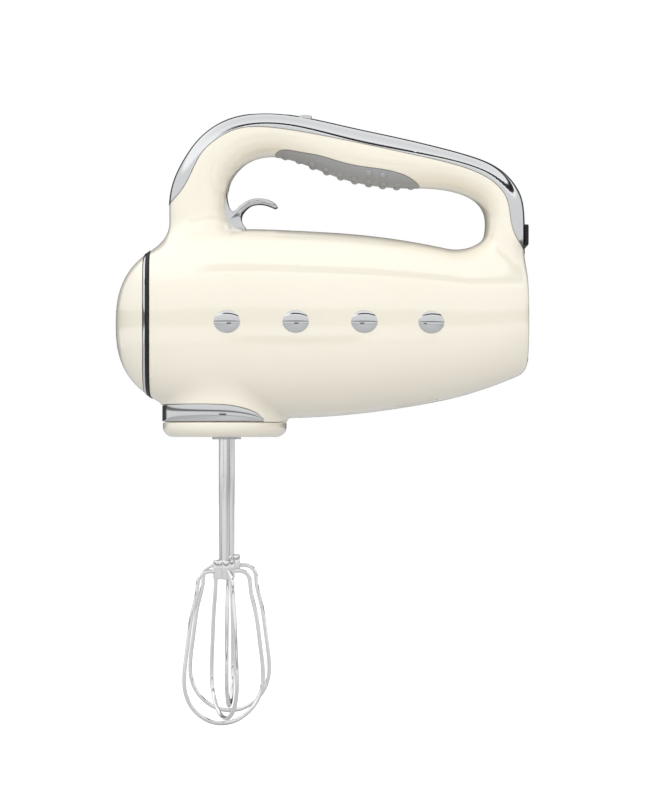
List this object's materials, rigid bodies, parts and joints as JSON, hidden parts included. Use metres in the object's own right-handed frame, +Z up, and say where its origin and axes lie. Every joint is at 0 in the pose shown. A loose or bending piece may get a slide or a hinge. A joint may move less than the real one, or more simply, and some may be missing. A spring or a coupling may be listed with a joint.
{
  "type": "hand mixer",
  "caption": "Cream electric hand mixer with a closed loop handle, chrome saddle, release trigger and two wire beaters.",
  "frame": {"origin": "centre of the flat drive face under the collar, midway between the two beaters", "axes": "+Z up along the beaters towards the handle, -X towards the nose, -Y to the mixer's left"},
  "size_m": [0.2185, 0.0868, 0.3211],
  "materials": {
    "cream_plastic": "gloss",
    "chrome": "polished",
    "grey_rubber": "matte",
    "black_rubber": "matte",
    "stainless": "polished",
    "steel": "ground",
    "zinc": "cast",
    "bronze": "turned",
    "copper": "enamelled wire",
    "lamination": "stamped",
    "carbon": "matte",
    "nylon": "satin",
    "black_plastic": "satin",
    "circuit_board": "satin",
    "smoked_lens": "gloss"
  },
  "bodies": {
    "mixer_body": {"housing_left": "cream_plastic", "housing_right": "cream_plastic", "nose_cap": "cream_plastic", "base_cap": "cream_plastic", "cable_gland": "cream_plastic", "nose_trim_ring": "chrome", "collar_trim": "chrome", "handle_cover": "chrome", "badge_left": "chrome", "badge_right": "chrome", "grip_pad": "grey_rubber", "nose_gasket": "black_rubber", "heel_foot_upper": "black_rubber", "heel_foot_lower": "black_rubber", "middle_bearing": "steel", "rear_bearing": "steel", "trigger_pin": "steel", "trigger_spring": "steel", "gearbox_frame": "zinc", "gearbox_cover": "zinc", "motor_bracket": "zinc", "front_bearing": "bronze", "spindle_bush_left": "bronze", "spindle_bush_right": "bronze", "brush_holder_left": "bronze", "brush_holder_right": "bronze", "field_coil_left": "copper", "field_coil_right": "copper", "stator_core": "lamination", "carbon_brush_left": "carbon", "carbon_brush_right": "carbon", "control_board": "circuit_board", "power_board": "circuit_board", "display_window": "smoked_lens"},
    "rotor": {"worm_shaft": "steel", "rotor_core": "lamination", "rotor_winding_front": "copper", "rotor_winding_rear": "copper", "commutator": "copper", "cooling_fan": "black_plastic"},
    "left_drive": {"spindle_left": "steel", "worm_wheel_left": "nylon"},
    "right_drive": {"spindle_right": "steel", "worm_wheel_right": "nylon"},
    "left_beater": {"beater_left_shaft": "stainless", "beater_left_hub": "stainless", "beater_left_loop_a": "stainless", "beater_left_loop_b": "stainless"},
    "right_beater": {"beater_right_shaft": "stainless", "beater_right_hub": "stainless", "beater_right_loop_a": "stainless", "beater_right_loop_b": "stainless"},
    "trigger": {"release_trigger": "chrome"},
    "yoke": {"ejector_yoke": "nylon"},
    "power_key": {"power_button": "chrome"},
    "speed_up_key": {"speed_up_button": "chrome"},
    "speed_down_key": {"speed_down_button": "chrome"},
    "turbo_key": {"turbo_button": "chrome"}
  },
  "joints": [
    {"name": "motor_spin", "type": "hinge", "parent": "mixer_body", "child": "rotor", "pos_m": [0, 0, 0.06], "axis": [1, 0, 0], "continuous": true},
    {"name": "left_spindle_spin", "type": "hinge", "parent": "mixer_body", "child": "left_drive", "pos_m": [0, -0.019, 0.06], "axis": [0, 0, 1], "continuous": true},
    {"name": "right_spindle_spin", "type": "hinge", "parent": "mixer_body", "child": "right_drive", "pos_m": [0, 0.019, 0.06], "axis": [0, 0, 1], "continuous": true},
    {"name": "left_beater_release", "type": "slide", "parent": "left_drive", "child": "left_beater", "axis": [0, 0, -1], "range_m": [0, 0.046]},
    {"name": "right_beater_release", "type": "slide", "parent": "right_drive", "child": "right_beater", "axis": [0, 0, -1], "range_m": [0, 0.046]},
    {"name": "yoke_slide", "type": "slide", "parent": "mixer_body", "child": "yoke", "axis": [0, 0, -1], "range_m": [0, 0.00421]},
    {"name": "trigger_pull", "type": "hinge", "parent": "mixer_body", "child": "trigger", "pos_m": [-0.003, 0, 0.1065], "axis": [0, -1, 0], "range_deg": [0, 16.01], "stiffness_Nm_per_rad": 0.1},
    {"name": "power_press", "type": "slide", "parent": "mixer_body", "child": "power_key", "axis": [0, 0, -1], "range_m": [0, 0.001], "stiffness_N_per_m": 600},
    {"name": "speed_up_press", "type": "slide", "parent": "mixer_body", "child": "speed_up_key", "axis": [0, 0, -1], "range_m": [0, 0.001], "stiffness_N_per_m": 600},
    {"name": "speed_down_press", "type": "slide", "parent": "mixer_body", "child": "speed_down_key", "axis": [0, 0, -1], "range_m": [0, 0.001], "stiffness_N_per_m": 600},
    {"name": "turbo_press", "type": "slide", "parent": "mixer_body", "child": "turbo_key", "axis": [0, 0, -1], "range_m": [0, 0.001], "stiffness_N_per_m": 600}
  ],
  "couplings": [
    {"joint": "left_spindle_spin", "follows": "motor_spin", "ratio": 0.083333},
    {"joint": "right_spindle_spin", "follows": "motor_spin", "ratio": -0.083333},
    {"joint": "right_beater_release", "follows": "left_beater_release", "ratio": 1},
    {"joint": "yoke_slide", "follows": "left_beater_release", "ratio": 0.091304},
    {"joint": "trigger_pull", "follows": "left_beater_release", "rad_per_m": 6.0707}
  ]
}
